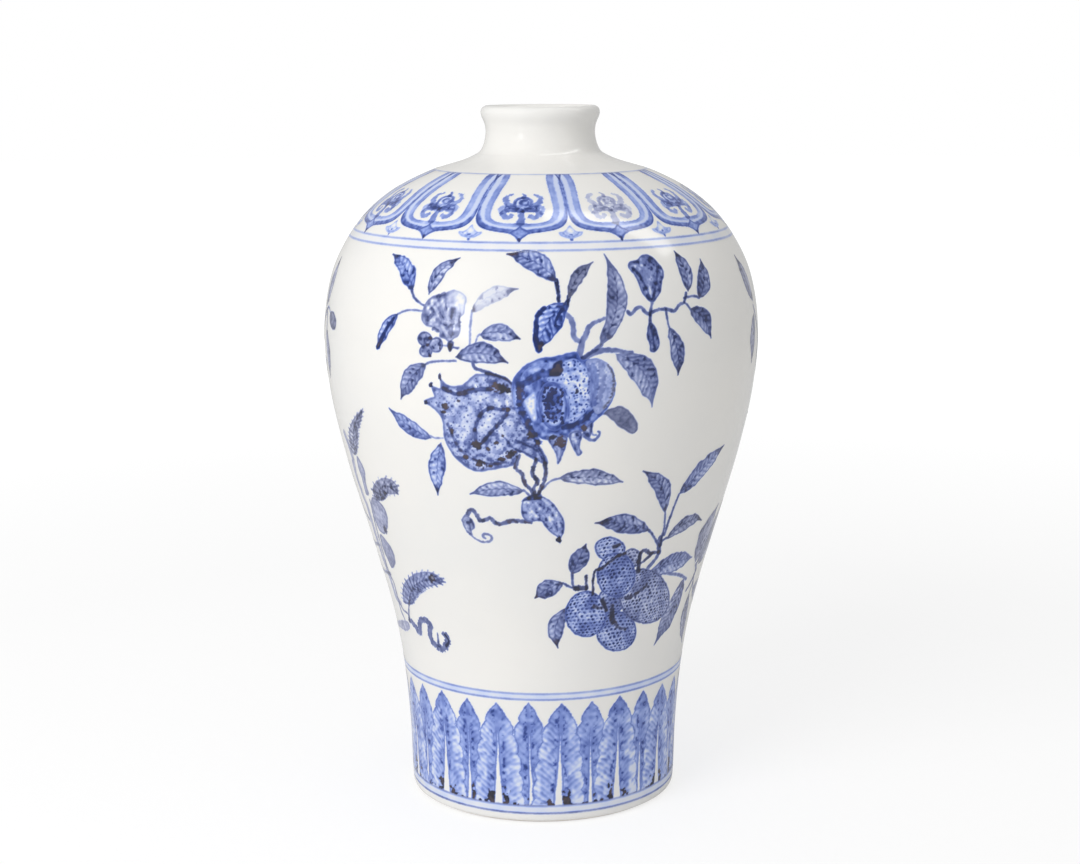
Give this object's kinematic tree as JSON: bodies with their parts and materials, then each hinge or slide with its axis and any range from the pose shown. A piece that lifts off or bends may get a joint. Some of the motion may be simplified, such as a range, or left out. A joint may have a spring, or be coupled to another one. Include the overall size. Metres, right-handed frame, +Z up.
{
  "type": "baluster vase",
  "caption": "Tall round-shouldered porcelain baluster vase with a short narrow neck, a flared lip and a recessed foot ring, glazed and painted in underglaze blue.",
  "frame": {"origin": "centre of the foot ring, on the surface that the vase stands on", "axes": "+Z up along the vase's axis of revolution; -Y faces the side with the pomegranate spray"},
  "size_m": [0.2064, 0.2064, 0.33],
  "materials": {
    "clear_glaze": "glossy transparent glaze over white porcelain",
    "bare_clay": "fired bare porcelain, fine and matt, a little warm",
    "slip": "fired slip, matt",
    "cobalt_blue": "cobalt blue painted on the clay under the glaze, in washes and dark heaped spots"
  },
  "bodies": {
    "root": {"base_with_foot_ring": "bare_clay", "lower_body": "bare_clay", "upper_body": "bare_clay", "mouth_and_neck": "bare_clay", "slip_seam_base": "slip", "slip_seam_body": "slip", "slip_seam_neck": "slip", "glaze_outside": "clear_glaze", "glaze_inside": "clear_glaze", "glaze_foot_recess": "clear_glaze"}
  },
  "joints": []
}
